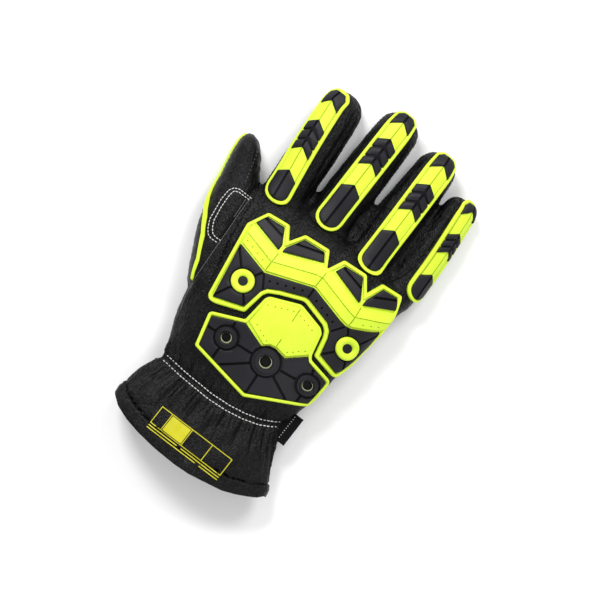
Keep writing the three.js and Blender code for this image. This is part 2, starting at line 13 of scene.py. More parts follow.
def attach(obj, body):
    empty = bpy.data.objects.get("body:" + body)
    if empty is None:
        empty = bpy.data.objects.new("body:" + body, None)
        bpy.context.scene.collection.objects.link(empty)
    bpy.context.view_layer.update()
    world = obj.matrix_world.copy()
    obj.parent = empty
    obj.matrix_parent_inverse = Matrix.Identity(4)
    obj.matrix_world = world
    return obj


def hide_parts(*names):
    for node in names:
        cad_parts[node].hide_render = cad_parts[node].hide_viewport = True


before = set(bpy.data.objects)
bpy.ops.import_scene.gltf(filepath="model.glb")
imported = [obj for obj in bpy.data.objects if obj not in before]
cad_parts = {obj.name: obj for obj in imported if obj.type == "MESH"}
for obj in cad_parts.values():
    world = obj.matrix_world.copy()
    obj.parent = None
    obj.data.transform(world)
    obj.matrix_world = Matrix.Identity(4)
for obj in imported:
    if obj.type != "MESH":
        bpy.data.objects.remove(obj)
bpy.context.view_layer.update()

MM = 0.001

# The form of the hand, thumb and fingers. "top" is a share of HAND_HEIGHT.
HAND_HEIGHT = 40
FINGER_TALL = 24
WALL = 2
FLAT = 0.93  # the part of a section under its widest line, as a share of the part above it
POWER = 2.3  # how square the rounded ends are
HAND = {
    "y": [-92, -74, -62, -50, -38, -27, -12, 5, 25, 45, 62, 76, 90],
    "left": [-50, -51.5, -51.5, -48, -43, -44.5, -50.5, -55, -56.5, -57, -57.5, -58, -58],
    "right": [59, 60.2, 60.4, 54.8, 47.6, 42.3, 45.2, 48.6, 50.6, 52, 54.6, 57.4, 58.6],
    "top": [0.84, 0.85, 0.84, 0.8, 0.76, 0.78, 0.87, 0.95, 1, 1, 0.94, 0.82, 0.66],
}
THUMB = {
    "y": [0, 12, 25, 42, 60, 76, 87, 96, 105.5],
    "left": [-50, -59.6, -66.6, -74.8, -79.9, -82.6, -84.9, -86.2, -87.4],
    "right": [-20, -27, -34, -41, -46, -53, -62, -68, -74.3],
    "top": [0.68, 0.76, 0.77, 0.74, 0.69, 0.63, 0.58, 0.55, 0.52],
}
ROOT = 70  # where every finger starts, inside the hand
# The leather of a finger: x at its root and tip, y of its tip, widths at its base, middle and tip.
# Its guard: turns in degrees at the root and past the middle, how far it goes over the tip, and
# the y of its start, the base pad's peak, the chevrons' two ends and the tip pad's start.
FINGERS = {
    "index": dict(root=-42.9, tipx=-47.8, tipy=161.6, base=28.2, mid=28.9, tip=25.5, tall=0.96,
                  roll=-14, turn=-36, over=0.85, start=79.5, pad=101.8, low=112.5, high=137, end=146),
    "middle": dict(root=-12.5, tipx=-12.6, tipy=172.3, base=30, mid=29.6, tip=27.2, tall=1,
                   roll=-2, turn=-2, over=1.2, start=85.7, pad=118.8, low=130.2, high=154.5, end=161.3),
    "ring": dict(root=21, tipx=20.3, tipy=167.5, base=31.5, mid=30, tip=25.5, tall=0.98,
                 roll=9, turn=9, over=1.2, start=81.2, pad=112, low=123.3, high=147.3, end=155.5),
    "little": dict(root=49, tipx=45.8, tipy=153.8, base=22.5, mid=22.5, tip=19, tall=0.86,
                   roll=46, turn=46, over=1.2, start=84.5, pad=105, low=117, high=135, end=144.5),
}
# The webs between the fingers, lower than the fingers themselves: sections and the y of the end
WEBS = [
    ({"y": [78, 92, 100, 104], "left": [-33, -31.5, -30, -28.5],
      "right": [-22, -23.5, -25, -26.5], "top": [0.5, 0.34, 0.26, 0.22]}, 103),
    ({"y": [78, 94, 110, 116], "left": [-2, -0.5, 1, 2.2],
      "right": [10, 8.5, 7, 5.2], "top": [0.55, 0.42, 0.36, 0.34]}, 117.5),
    ({"y": [78, 100, 125, 140], "left": [31, 32.5, 33.5, 34.2],
      "right": [43, 41.5, 39.5, 38.6], "top": [0.45, 0.32, 0.25, 0.23]}, 142.5),
]
WEB_ROUND = 4


def column(rows, key, y):
    """A smooth curve through one column of a table, at the places y."""
    ys, vs = np.array(rows["y"], float), np.array(rows[key], float)
    slope = np.diff(vs) / np.diff(ys)
    tangent = np.concatenate([slope[:1], (slope[1:] + slope[:-1]) / 2, slope[-1:]])
    i = np.clip(np.searchsorted(ys, y) - 1, 0, len(ys) - 2)
    span = ys[i + 1] - ys[i]
    t = np.clip((y - ys[i]) / span, 0, 1)
    return (vs[i] * (2 * t**3 - 3 * t**2 + 1) + span * tangent[i] * (t**3 - 2 * t**2 + t)
            + vs[i + 1] * (3 * t**2 - 2 * t**3) + span * tangent[i + 1] * (t**3 - t**2))


# A lobe is (section, start, end, round_end): section(y) gives the middle's x, the half width,
# the height above the widest line and that line's z, and the last round_end is rounded off.
def table_lobe(rows, end, round_end):
    def section(y):
        y = np.minimum(np.asarray(y, float), rows["y"][-1])
        left, right = column(rows, "left", y), column(rows, "right", y)
        h = column(rows, "top", y) * HAND_HEIGHT / (1 + FLAT)
        return (left + right) / 2, (right - left) / 2, h, h * FLAT
    return section, rows["y"][0], end, round_end


def finger_lobe(f, drawn_in=False):
    """drawn_in narrows and lifts the root, so that the leather leaves the hand without a step."""
    base, mid, tip = f["base"], f["mid"], f["tip"]
    wide = [0.5, 0.88] if drawn_in else [0.6, 0.9]
    tall = [0.5, 0.9] if drawn_in else [0.8, 1]
    lift = [9.5, 4.5, 0.6] if drawn_in else [0, 0, 0]
    rows = {"y": [0, 0.09, 0.2, 0.28, 0.52, 0.88, 1],
            "wide": [base * wide[0], base * wide[1], base, 0.75 * base + 0.25 * mid, mid, tip,
                     tip * 0.94],
            "tall": [*tall, 1.03, 1.02, 1, 0.86, 0.8],
            "lift": [*lift, 0, 0, 0, 0]}

    def section(y):
        t = (np.asarray(y, float) - ROOT) / (f["tipy"] - ROOT)
        h = column(rows, "tall", t) * f["tall"] * FINGER_TALL / (1 + FLAT)
        x = f["root"] + (f["tipx"] - f["root"]) * t
        return x, column(rows, "wide", t) / 2, h, h * FLAT + column(rows, "lift", t)
    return section, ROOT, f["tipy"], f["tip"] * 0.48


HAND_LOBE = table_lobe(HAND, 92, 13)
THUMB_LOBE = table_lobe(THUMB, 105.5, 10.5)
FINGER_LOBES = {name: finger_lobe(f) for name, f in FINGERS.items()}


def level(lobe, p):
    """Under 0 inside a lobe, at the points p."""
    section, _, end, round_end = lobe
    x, w, h, z = section(p[:, 1])
    past = np.maximum(p[:, 1] - end + round_end, 0) / round_end
    out = np.hypot((p[:, 0] - x) / w, (p[:, 2] - z) / h)
    return (out**POWER + past**POWER) ** (1 / POWER) - 1


def loft(lobe, sides=72, step=1.5):
    section, start, end, round_end = lobe
    straight = end - round_end
    ys = np.concatenate([np.arange(start, straight, step),
                         straight + round_end * np.sin(np.linspace(0, 1.52, 14))])
    x, w, h, z = section(ys)
    q = (1 - np.clip((ys - straight) / round_end, 0, 1) ** POWER) ** (1 / POWER)
    a = np.linspace(0, 2 * math.pi, sides, endpoint=False)
    points = np.stack([x[:, None] + (w * q)[:, None] * np.sin(a), np.repeat(ys[:, None], sides, 1),
                       z[:, None] + (h * q)[:, None] * np.cos(a)], 2).reshape(-1, 3)
    n = len(ys)
    k, j = np.meshgrid(np.arange(sides), np.arange(n - 1))
    nxt = (k + 1) % sides
    quads = np.stack([j * sides + k, j * sides + nxt, (j + 1) * sides + nxt, (j + 1) * sides + k], 2)
    caps = [list(range(sides))[::-1], list(range((n - 1) * sides, n * sides))]
    return points, quads.reshape(-1, 4).tolist() + caps


def mesh_object(name, points, faces):
    mesh = bpy.data.meshes.new(name)
    mesh.from_pydata((np.asarray(points) * MM).tolist(), [], [list(map(int, f)) for f in faces])
    mesh.validate()
    mesh.shade_smooth()
    made = bpy.data.objects.new(name, mesh)
    bpy.context.scene.collection.objects.link(made)
    return made


def per_vertex(mesh, key):
    flat = np.empty(len(mesh.vertices) * 3)
    mesh.vertices.foreach_get(key, flat)
    return flat.reshape(-1, 3)


def line(table, x):
    """y at the places x, along straight lines between the table's points."""
    return np.interp(x, [p[0] for p in table], [p[1] for p in table])


def bump(d, width):
    return np.exp(-((d / width) ** 2))


def near_line(p, table, width):
    """Nearness of the points, seen from above, to a line of (x, y) places."""
    return bump(distance(p[:, :2], table, closed=False), width)


def distance(p, path, closed=True):
    path = np.array(path, float)
    a = path if closed else path[:-1]
    b = np.roll(path, -1, 0) if closed else path[1:]
    best = np.full(len(p), 1e9)
    for s, e in zip(a, b):
        d = e - s
        t = np.clip(((p - s) @ d) / max(d @ d, 1e-12), 0, 1)
        best = np.minimum(best, np.hypot(*(p - s - t[:, None] * d).T))
    return best


# The wrist's seam and the hem's edge, across the glove
WRIST = [(-80, -36), (-37, -35.5), (-25, -36.4), (-3, -36.8), (10, -35.6), (20, -33.7), (30, -30.7),
         (37, -27), (42, -23.6), (80, -23.6)]
HEM = [(-80, -69.5), (-52, -69.5), (-50, -71.8), (-44, -75.9), (-35, -78.8), (-25, -80.7),
       (-10, -82.1), (5, -82.4), (15, -81.7), (25, -79.8), (37, -77.5), (45, -74.4), (52, -70.9),
       (57, -68.1), (60, -65), (80, -65)]
HEM_WIDTH = 9.5

# The leather: the lobes joined, smoothed where they meet, and folded
VOXEL = 1.15
SMOOTHING = 7
SOLE = 1.2  # the underside is flattened softly below this height
points, faces, count = [], [], 0
rising = [finger_lobe(f, drawn_in=True) for f in FINGERS.values()]
webs = [table_lobe(rows, end, WEB_ROUND) for rows, end in WEBS]
for lobe in [HAND_LOBE, THUMB_LOBE, *rising, *webs]:
    p, f = loft(lobe)
    points.append(p)
    faces += [[v + count for v in face] for face in f]
    count += len(p)
whole = mesh_object("whole", np.concatenate(points), faces)
remesh = whole.modifiers.new("remesh", "REMESH")
remesh.mode = "VOXEL"
remesh.voxel_size = VOXEL * MM
smooth = whole.modifiers.new("smooth", "SMOOTH")
smooth.factor = 0.5
smooth.iterations = SMOOTHING
graph = bpy.context.evaluated_depsgraph_get()
base = bpy.data.meshes.new_from_object(whole.evaluated_get(graph))
bpy.data.objects.remove(whole)
P = per_vertex(base, "co") * 1000
P[:, 2] = np.where(P[:, 2] < SOLE, SOLE * np.exp(np.minimum(P[:, 2] - SOLE, 0) / SOLE), P[:, 2])
polys = [tuple(p.vertices) for p in base.polygons]
# The skin is drawn smooth where the lobes meet: beside the thumb and down in the webs
CREASES = [[(-57, 84), (-55, 66), (-53, 50), (-51, 34), (-49, 16), (-47, 0)],
           [(-27.5, 84), (-28, 102)], [(4, 84), (4.5, 116)], [(35, 86), (36.5, 110), (36.2, 136)]]
CREASE_WIDTH, CREASE_LOW, CREASE_PASSES = 4.5, 7, 30
pairs = np.array([(a, b) for f in polys for a, b in zip(f, f[1:] + f[:1])])
apart = np.minimum.reduce([distance(P[:, :2], crease, closed=False) for crease in CREASES])
relax = 0.5 * np.exp(-(apart / CREASE_WIDTH) ** 4) * (P[:, 2] > CREASE_LOW)
shares = np.bincount(pairs[:, 0], minlength=len(P))[:, None]
for _ in range(CREASE_PASSES):
    sums = [np.bincount(pairs[:, 0], P[pairs[:, 1], k], len(P)) for k in range(3)]
    P += relax[:, None] * (np.stack(sums, 1) / shares - P)
base.vertices.foreach_set("co", (P * MM).ravel())
base.update()
N = per_vertex(base, "normal")
SKIN = BVHTree.FromPolygons([Vector(v) for v in P], polys)


def inside(p, path):
    path = np.array(path, float)
    x, y = p[:, 0], p[:, 1]
    hit = np.zeros(len(p), bool)
    for (x1, y1), (x2, y2) in zip(path, np.roll(path, -1, 0)):
        if y1 != y2:
            hit ^= ((y1 > y) != (y2 > y)) & (x < (x2 - x1) * (y - y1) / (y2 - y1) + x1)
    return hit


def waves(p, *terms):
    """Soft irregular folds: each term is amplitude, kx, ky, kz, phase."""
    x, y, z = p.T
    return sum(a * np.sin(kx * x + ky * y + kz * z + phase) for a, kx, ky, kz, phase in terms)


# Everything below moves the skin along its normal, by so many millimetres
xs, ys, zs = P.T
# the gathers at the wrist: uneven pleats round the hand, held flat along the stitched seam
GATHER_BELOW, GATHER_ABOVE = 20, 8
PLEAT_HEIGHT = 1.8
ridge = ys - line(WRIST, xs)
angle = np.arctan2((xs - 3) / 50, (zs - 15) / 17)
gather = bump(np.minimum(ridge, 0), GATHER_BELOW) * bump(np.maximum(ridge, 0), GATHER_ABOVE)
pleats = (0.6 * np.sin(27 * angle + 2.4 * np.sin(3 * angle + 0.08 * ys))
          + 0.5 * np.sin(49 * angle + 1.3 + 0.13 * ys))
pleats = np.sign(pleats) * np.abs(pleats) ** 0.8
move = gather * pleats * PLEAT_HEIGHT * (1 - 0.65 * bump(ridge, 3.6))
move -= 1.3 * bump(ridge, 3.4) + 0.5 * bump(ridge - 2, 0.8) + 0.5 * bump(ridge + 2, 0.8)
# slow waves over the cuff
swell = waves(P, (1, 0.11, 0.05, 0.03, 0.4), (0.7, 0.19, -0.08, 0.05, 2.1))
move += np.where(ridge < 0, 0.7 * swell * bump(ridge + 26, 20), 0)
# folds and seams on the upper side, each a path, a width and a height
FOLDS = [
    ([(-59.5, 80), (-58, 61), (-56.5, 40), (-55.6, 25), (-55.5, 9)], 1.7, -1.0),
    ([(-50, 40), (-48, 10), (-44, -14), (-38, -28)], 3.2, -0.8),
    ([(-49, 20), (-45, -8), (-40, -24)], 2.4, 0.6),
    ([(-62, 34), (-57, 20), (-52, 8)], 2.2, 0.7),
    ([(-27, 102), (-27.5, 88), (-31, 76)], 2.2, -1.0),
    ([(4, 100), (4.5, 86), (3, 77)], 2.2, -1.0),
    ([(35, 96), (34.5, 84), (33, 76)], 2.2, -0.9),
    ([(-40.6, 158), (-37.6, 140), (-36, 122), (-33.6, 105), (-29.9, 87.5)], 1.3, -0.9),
    ([(42.5, 153), (46, 140), (46.8, 131), (47.6, 117), (45.6, 103), (42.6, 92.5), (37.3, 84)], 1.1, -1.5),
    ([(1.5, 106), (2, 95), (4.5, 89), (8, 93), (8.5, 104)], 1.2, -0.8),
    ([(8.5, 150), (7.8, 128), (8.2, 108)], 1.2, -0.6),
    ([(-68, 98), (-64, 84), (-60, 74)], 0.8, -0.4),
]
upper = N[:, 2] > 0.15
for path, width, height in FOLDS:
    move += height * near_line(P, path, width) * upper
# the seam round the sides, puckered
SEAM_Z = 12
flank = np.abs(N[:, 2]) < 0.8
move -= 0.55 * np.where(flank, bump(zs - SEAM_Z, 0.8), 0) * (ys > line(WRIST, xs) + 3)
move += 0.22 * bump(zs - SEAM_Z, 3.0) * np.sin(2.4 * ys + 1.7 * xs) * flank
# the patch over the thumb's crotch
PATCH = [(-57, 40), (-63, 40), (-67.5, 44), (-70, 52), (-71, 60), (-71, 67), (-68.5, 72),
         (-64, 73.5), (-57, 73.5)]
PATCH_HEIGHT = 0.55
patched = inside(P[:, :2], PATCH) & (zs > 14) & (level(THUMB_LOBE, P) < 0.04)
move += np.where(patched, PATCH_HEIGHT * (1 - bump(distance(P[:, :2], PATCH), 0.7)), 0)
# a slight unevenness everywhere
move += 0.06 * waves(P, (1, 0.5, 0.33, 0.3, 0), (0.9, -0.37, 0.61, 0.2, 1.4),
                     (0.7, 0.83, -0.24, 0.5, 2.2), (0.6, 0.2, 1.05, -0.4, 0.7))
# the hem stands proud, with a groove above it and its stitched line
HEM_PROUD = 0.7
hem_top = ys - line(HEM, xs) - HEM_WIDTH
move += np.where(hem_top < 0, HEM_PROUD, 0) - 0.9 * bump(hem_top, 1.0) - 0.35 * bump(hem_top + 2.8, 0.9)
ripple = 0.3 * np.sin(0.55 * xs + 0.9 * np.sin(0.13 * xs))
move += np.where(hem_top < 0, ripple * bump(hem_top + 4, 4), 0)
# little of it shows where the glove lies on the floor
move *= np.where(zs < 2.5, 0.15, 1)
P = P + N * move[:, None]
P[:, 2] = np.maximum(P[:, 2], 0.02)

# Cut along the seams into panels: kind is each face's place in PANELS
PANELS = [["back_panel"], ["palm_panel"], ["fourchette_index_middle"], ["fourchette_middle_ring"],
          ["fourchette_ring_little"], ["thumb_panel", "thumb_patch"], ["cuff"], ["cuff_hem"]]
BACK, PALM, FOURCHETTE, THUMB_TUBE, CUFF, TURNED_HEM = 0, 1, 2, 5, 6, 7
FINGER_RUN = 90  # y from the root over which a finger's middle goes from its root to its tip
centre = np.array([P[list(f)].mean(0) for f in polys])
cx, cy, cz = centre.T
keep = cy > line(HEM, cx)
kind = np.where(cz > SEAM_Z, BACK, PALM)
middles = [f["root"] + (f["tipx"] - f["root"]) * ((cy - ROOT) / FINGER_RUN) for f in FINGERS.values()]
for i, (left, right) in enumerate(zip(middles, middles[1:])):
    kind[(cx > left) & (cx < right) & (cy > 84) & (cz > 4.8) & (cz < 14.9)] = FOURCHETTE + i
others = np.minimum.reduce([level(lobe, centre) for lobe in [HAND_LOBE, *FINGER_LOBES.values()]])
kind[(level(THUMB_LOBE, centre) < others) & (cy > 2) & (cx < -39.5)] = THUMB_TUBE
kind[cy < line(WRIST, cx)] = CUFF
kind[cy < line(HEM, cx) + HEM_WIDTH] = TURNED_HEM
# the cuff's mouth is drawn onto the hem's edge
skin_faces = [f for f, kept in zip(polys, keep) if kept]
cut_faces = [f for f, kept in zip(polys, keep) if not kept]
mouth = np.array(sorted({v for f in skin_faces for v in f} & {v for f in cut_faces for v in f}))
P[mouth, 1] = line(HEM, P[mouth, 0])
LEATHER = BVHTree.FromPolygons([Vector(v) for v in P], skin_faces)


# Materials
def material(name, color, rough, build=None, **inputs):
    made = bpy.data.materials.new(name)
    made.use_nodes = True
    shader = made.node_tree.nodes["Principled BSDF"]
    shader.inputs["Base Color"].default_value = (*color, 1)
    shader.inputs["Roughness"].default_value = rough
    for key, value in inputs.items():
        shader.inputs[key.replace("_", " ")].default_value = value
    if build:
        build(made.node_tree, shader)
    return made


def node(tree, kind, **values):
    made = tree.nodes.new(kind)
    for key, value in values.items():
        if key in made.inputs:
            made.inputs[key].default_value = value
        else:
            setattr(made, key, value)
    return made


def relief(tree, shader, layers):
    """Stacks bumps: each layer is a height socket, strength and distance in metres."""
    last = None
    for socket, strength, height in layers:
        made = node(tree, "ShaderNodeBump", Strength=strength, Distance=height)
        tree.links.new(socket, made.inputs["Height"])
        if last:
            tree.links.new(last.outputs[0], made.inputs["Normal"])
        last = made
    tree.links.new(last.outputs[0], shader.inputs["Normal"])


def mixed(tree, shader, key, factor, low, high):
    """Drives an input from low to high with a factor of 0 to 1."""
    ramp = node(tree, "ShaderNodeMapRange")
    ramp.inputs["To Min"].default_value = low
    ramp.inputs["To Max"].default_value = high
    tree.links.new(factor, ramp.inputs["Value"])
    tree.links.new(ramp.outputs[0], shader.inputs[key])


def colored(tree, shader, factor, dark, light, low=0.3, high=0.7):
    """The base colour, dark up to a factor of low and light from high on."""
    ramp = node(tree, "ShaderNodeValToRGB")
    for stop, place, color in zip(ramp.color_ramp.elements, (low, high), (dark, light)):
        stop.position, stop.color = place, (*color, 1)
    tree.links.new(factor, ramp.inputs[0])
    tree.links.new(ramp.outputs[0], shader.inputs["Base Color"])


def own_coordinates(tree):
    return node(tree, "ShaderNodeTexCoord").outputs["Object"]


def pattern(tree, at, kind, stretch=None, **values):
    """A texture's first output, at the coordinates at, drawn out where stretch is under 1."""
    made = node(tree, "ShaderNodeTex" + kind, **values)
    if stretch:
        mapping = node(tree, "ShaderNodeMapping", Scale=stretch)
        tree.links.new(at, mapping.inputs["Vector"])
        at = mapping.outputs[0]
    tree.links.new(at, made.inputs["Vector"])
    return made.outputs[0]


def leather_nodes(tree, shader):
    at = own_coordinates(tree)
    grain = pattern(tree, at, "Voronoi", feature="SMOOTH_F1", Scale=1100)
    pores = pattern(tree, at, "Noise", Scale=2300, Detail=5)
    crease = pattern(tree, at, "Noise", Scale=330, Detail=8, Distortion=1.4)
    cloud = pattern(tree, at, "Noise", Scale=38, Detail=5)
    glints = pattern(tree, at, "Noise", Scale=1650, Detail=2)
    wrinkle = pattern(tree, at, "Noise", stretch=(1, 0.22, 1), Scale=420, Detail=6, Distortion=0.8)
    relief(tree, shader, [(wrinkle, 0.8, 0.0010), (crease, 0.8, 0.0009), (grain, 0.8, 0.0004),
                          (pores, 0.6, 0.0002)])
    mixed(tree, shader, "Roughness", crease, 0.24, 0.42)
    # painted highlights: pale flecks on the tops of the grain, in the base colour in place of a sheen, more in
    # some places than in others
    painted_glints = node(tree, "ShaderNodeMath", operation="MULTIPLY_ADD")
    painted_glints.inputs[1].default_value = 0.35  # the share that the slow clouds have in it
    tree.links.new(cloud, painted_glints.inputs[0])
    tree.links.new(glints, painted_glints.inputs[2])
    colored(tree, shader, painted_glints.outputs[0], (0.0008, 0.0008, 0.0011), (0.026, 0.025, 0.028), 0.72, 0.95)


def rubber_nodes(dark, light):
    def build(tree, shader):
        at = own_coordinates(tree)
        fine = pattern(tree, at, "Noise", Scale=1500, Detail=3)
        broad = pattern(tree, at, "Noise", Scale=60, Detail=4)
        relief(tree, shader, [(fine, 0.22, 0.00015), (broad, 0.1, 0.0006)])
        colored(tree, shader, broad, dark, light)
        mixed(tree, shader, "Roughness", broad, 0.42, 0.6)
    return build


def cloth_nodes(tree, shader):
    at = own_coordinates(tree)
    along = pattern(tree, at, "Wave", Scale=420, Distortion=0.4)
    across = pattern(tree, at, "Wave", Scale=420, bands_direction="Y", Distortion=0.4)
    relief(tree, shader, [(along, 0.5, 0.0003), (across, 0.5, 0.0003)])


def thread_nodes(tree, shader):
    twist = pattern(tree, own_coordinates(tree), "Wave", Scale=900, bands_direction="DIAGONAL", Distortion=1)
    relief(tree, shader, [(twist, 0.6, 0.0002)])


LEATHER_MAT = material("black_leather", (0.012, 0.012, 0.013), 0.5, leather_nodes, Specular_IOR_Level=0.15)
YELLOW = material("yellow_rubber", (0.7, 0.9, 0.03), 0.5,
                  rubber_nodes((0.55, 0.74, 0.03), (0.63, 0.82, 0.048)), Specular_IOR_Level=0.25)
BLACK = material("black_rubber", (0.026, 0.023, 0.032), 0.5,
                 rubber_nodes((0.0062, 0.0058, 0.0082), (0.0105, 0.0098, 0.0135)), Specular_IOR_Level=0.22)
# painted shade: a near-black rubber for the slits, grooves, gaps and holes, where shade falls
SHADE_RUBBER = material("painted_shade_rubber", (0.003, 0.003, 0.004), 0.8,
                rubber_nodes((0.0016, 0.0015, 0.002), (0.0028, 0.0026, 0.0033)), Specular_IOR_Level=0.1)
# painted shade: a darker yellow for the folds and grooves in the yellow rubber, where shade falls
CREASE_SHADE = material("crease_shade_rubber", (0.3, 0.4, 0.01), 0.7,
                 rubber_nodes((0.23, 0.31, 0.008), (0.3, 0.4, 0.012)), Specular_IOR_Level=0.2)
THREAD = material("white_thread", (0.62, 0.62, 0.6), 0.8, thread_nodes)
GREY_THREAD = material("grey_thread", (0.11, 0.11, 0.115), 0.8, thread_nodes)
TAPE = material("woven_tape", (0.002, 0.002, 0.0025), 0.85, cloth_nodes, Specular_IOR_Level=0.15)
# painted highlight: a pale rubber that stands for the glint on the lip of each boss's hole
GLINT_RUBBER = material("painted_glint_rubber", (0.5, 0.52, 0.3), 0.5, rubber_nodes((0.42, 0.44, 0.24), (0.5, 0.52, 0.3)))
PRINT = material("yellow_print", (0.75, 0.72, 0.02), 0.6,
                 rubber_nodes((0.42, 0.39, 0.012), (0.55, 0.52, 0.02)), Specular_IOR_Level=0.2)


def finish_piece(made, mat, slot, *nodes):
    made.data.materials.append(mat)
    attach(made, "root")
    if nodes:
        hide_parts(*nodes)
    return made


for place, nodes in enumerate(PANELS):
    own = [f for f, k, kept in zip(polys, kind, keep) if k == place and kept]
    used = sorted({v for f in own for v in f})
    index = {v: i for i, v in enumerate(used)}
    panel = mesh_object("leather_" + nodes[0], P[used], [[index[v] for v in f] for f in own])
    thick = panel.modifiers.new("wall", "SOLIDIFY")
    thick.thickness = WALL * MM
    thick.offset = -1
    finish_piece(panel, LEATHER_MAT, "leather", *nodes)


# Charts: from places on the drawing to points on the leather and the ways out of it
def seat(point, normal, tree=SKIN, reach=14):
    """The points moved along their normals onto the surface, where it is within reach."""
    made = np.array(point)
    for i, (p, n) in enumerate(zip(point, normal)):
        hit = tree.ray_cast(Vector(p + n * reach), Vector(-n), 3 * reach)
        if hit[0] is not None:
            made[i] = hit[0]
    return made


def unit(v):
    return v / np.linalg.norm(v, axis=1)[:, None]


def hand_chart(xy):
    """Straight down on the back of the hand, and rolled on past its shoulders."""
    x, w, h, z = HAND_LOBE[0](xy[:, 1])
    share = (xy[:, 0] - x) / w
    shoulder = math.pi / 3
    rim = math.sin(shoulder)
    a = np.where(np.abs(share) < rim, np.arcsin(np.clip(share, -1, 1)),
                 np.sign(share) * (shoulder + (np.abs(share) - rim) / math.cos(shoulder)))
    n = unit(np.stack([np.sin(a) / w, 0 * a, np.cos(a) / h], 1))
    return seat(np.stack([x + w * np.sin(a), xy[:, 1], z + h * np.cos(a)], 1), n), n


def end_chart(lobe, turn):
    """Along a lobe and over its end, turned round it by turn(xy, half width, height)."""
    section, _, end, round_end = lobe

    def chart(xy):
        straight = end - round_end
        y = np.minimum(xy[:, 1], straight)
        x, w, h, z = section(y)
        a = turn(xy, w, h)
        over = np.maximum(xy[:, 1] - straight, 0) / round_end
        side = unit(np.stack([np.sin(a) / w, 0 * a, np.cos(a) / h], 1))
        n = unit(side * np.cos(over)[:, None] + np.array([0, 1, 0]) * np.sin(over)[:, None])
        p = np.stack([x + w * np.sin(a) * np.cos(over), y + round_end * np.sin(over),
                      z + h * np.cos(a) * np.cos(over)], 1)
        return seat(p, n, reach=6), n
    return chart


TURN_FROM, TURN_RUN = 84, 66  # the guards turn from this y on, over this length


def finger_chart(lobe, low, high):
    """low and high are the turn of the guard's middle near the finger's root and past its middle."""
    section, _, end, round_end = lobe

    def chart(xy):
        straight = end - round_end
        x, w, h, z = section(np.minimum(xy[:, 1], straight))
        roll = low + (high - low) * np.clip((xy[:, 1] - TURN_FROM) / TURN_RUN, 0, 1)
        a = roll + xy[:, 0] / w
        over = np.maximum(xy[:, 1] - straight, 0) / round_end
        out = unit(np.stack([np.sin(roll) / w, 0 * a, np.cos(roll) / h], 1))
        side = np.stack([out[:, 2], 0 * a, -out[:, 0]], 1)
        rim = np.stack([w * np.sin(a), 0 * a, h * np.cos(a)], 1)
        face = unit(np.stack([np.sin(a) / w, 0 * a, np.cos(a) / h], 1))
        bent = np.cos(over)[:, None]
        ahead = np.array([0, 1, 0]) * np.sin(over)[:, None]
        dot = lambda p, q: (p * q).sum(1)[:, None]
        p = np.stack([x, np.minimum(xy[:, 1], straight), z], 1)
        p += side * dot(rim, side) * (0.75 + 0.25 * bent**2)
        p += out * dot(rim, out) * bent + round_end * ahead
        n = unit(side * dot(face, side) + out * dot(face, out) * bent + ahead)
        return seat(p, n, reach=6), n
    return chart


def flat(xy, z):
    return np.stack([xy[:, 0], xy[:, 1], np.full(len(xy), z)], 1), np.tile([0.0, 0, 1], (len(xy), 1))


def above(xy):
    """Straight down on the folded leather."""
    points, n = flat(xy, 30.0)
    return seat(points, n, LEATHER, 40), n


# Outlines
def shrink(path, inset):
    """The closed path with each side moved inwards by inset."""
    path = np.array(path, float)
    area = np.sum(path[:, 0] * np.roll(path[:, 1], -1) - path[:, 1] * np.roll(path[:, 0], -1))
    into = path - np.roll(path, 1, 0)
    into /= np.linalg.norm(into, axis=1)[:, None]
    out = np.roll(into, -1, 0)
    m, p = np.stack([-into[:, 1], into[:, 0]], 1), np.stack([-out[:, 1], out[:, 0]], 1)
    half = (m + p) / np.linalg.norm(m + p, axis=1)[:, None]
    return path + half * (np.sign(area) * inset / np.maximum((half * m).sum(1), 0.35))[:, None]


def rounded(path, radius, step):
    """The path with its corners rounded off and points no further apart than step."""
    path, made = np.array(path, float), []
    for b, p, a in zip(np.roll(path, 1, 0), path, np.roll(path, -1, 0)):
        reach = min(radius, 0.45 * np.linalg.norm(b - p), 0.45 * np.linalg.norm(a - p))
        s = p + (b - p) / np.linalg.norm(b - p) * reach
        e = p + (a - p) / np.linalg.norm(a - p) * reach
        for t in (0, 0.25, 0.5, 0.75, 1):
            made.append((1 - t) ** 2 * s + 2 * t * (1 - t) * p + t * t * e)
    result = []
    for s, e in zip(made, made[1:] + made[:1]):
        long = np.linalg.norm(e - s)
        n = max(1, math.ceil(long / step))
        result += [s + (e - s) * i / n for i in range(n)] if long > 1e-4 else []
    return np.array(result)


def circle(x, y, radius, sides=40):
    a = np.linspace(0, 2 * math.pi, sides, endpoint=False)
    return np.stack([x + radius * np.cos(a), y + radius * np.sin(a)], 1)


BOTTOM = -0.5  # moulded pieces reach a little into the leather's skin
GROOVE_LINES = (0.72, 1.28)  # where points follow a groove's two slopes, in half widths
GROOVE_END, GROOVE_SLOPE = 1.2, 0.45
GROOVE_STEP = 0.7
CLEAR = 0.3  # free points stay this far from the edges
SAME = 0.22  # free points in one cell of this size become one


def carved(away, width, depth):
    return depth * np.clip((GROOVE_END - away / width) / GROOVE_SLOPE, 0, 1)


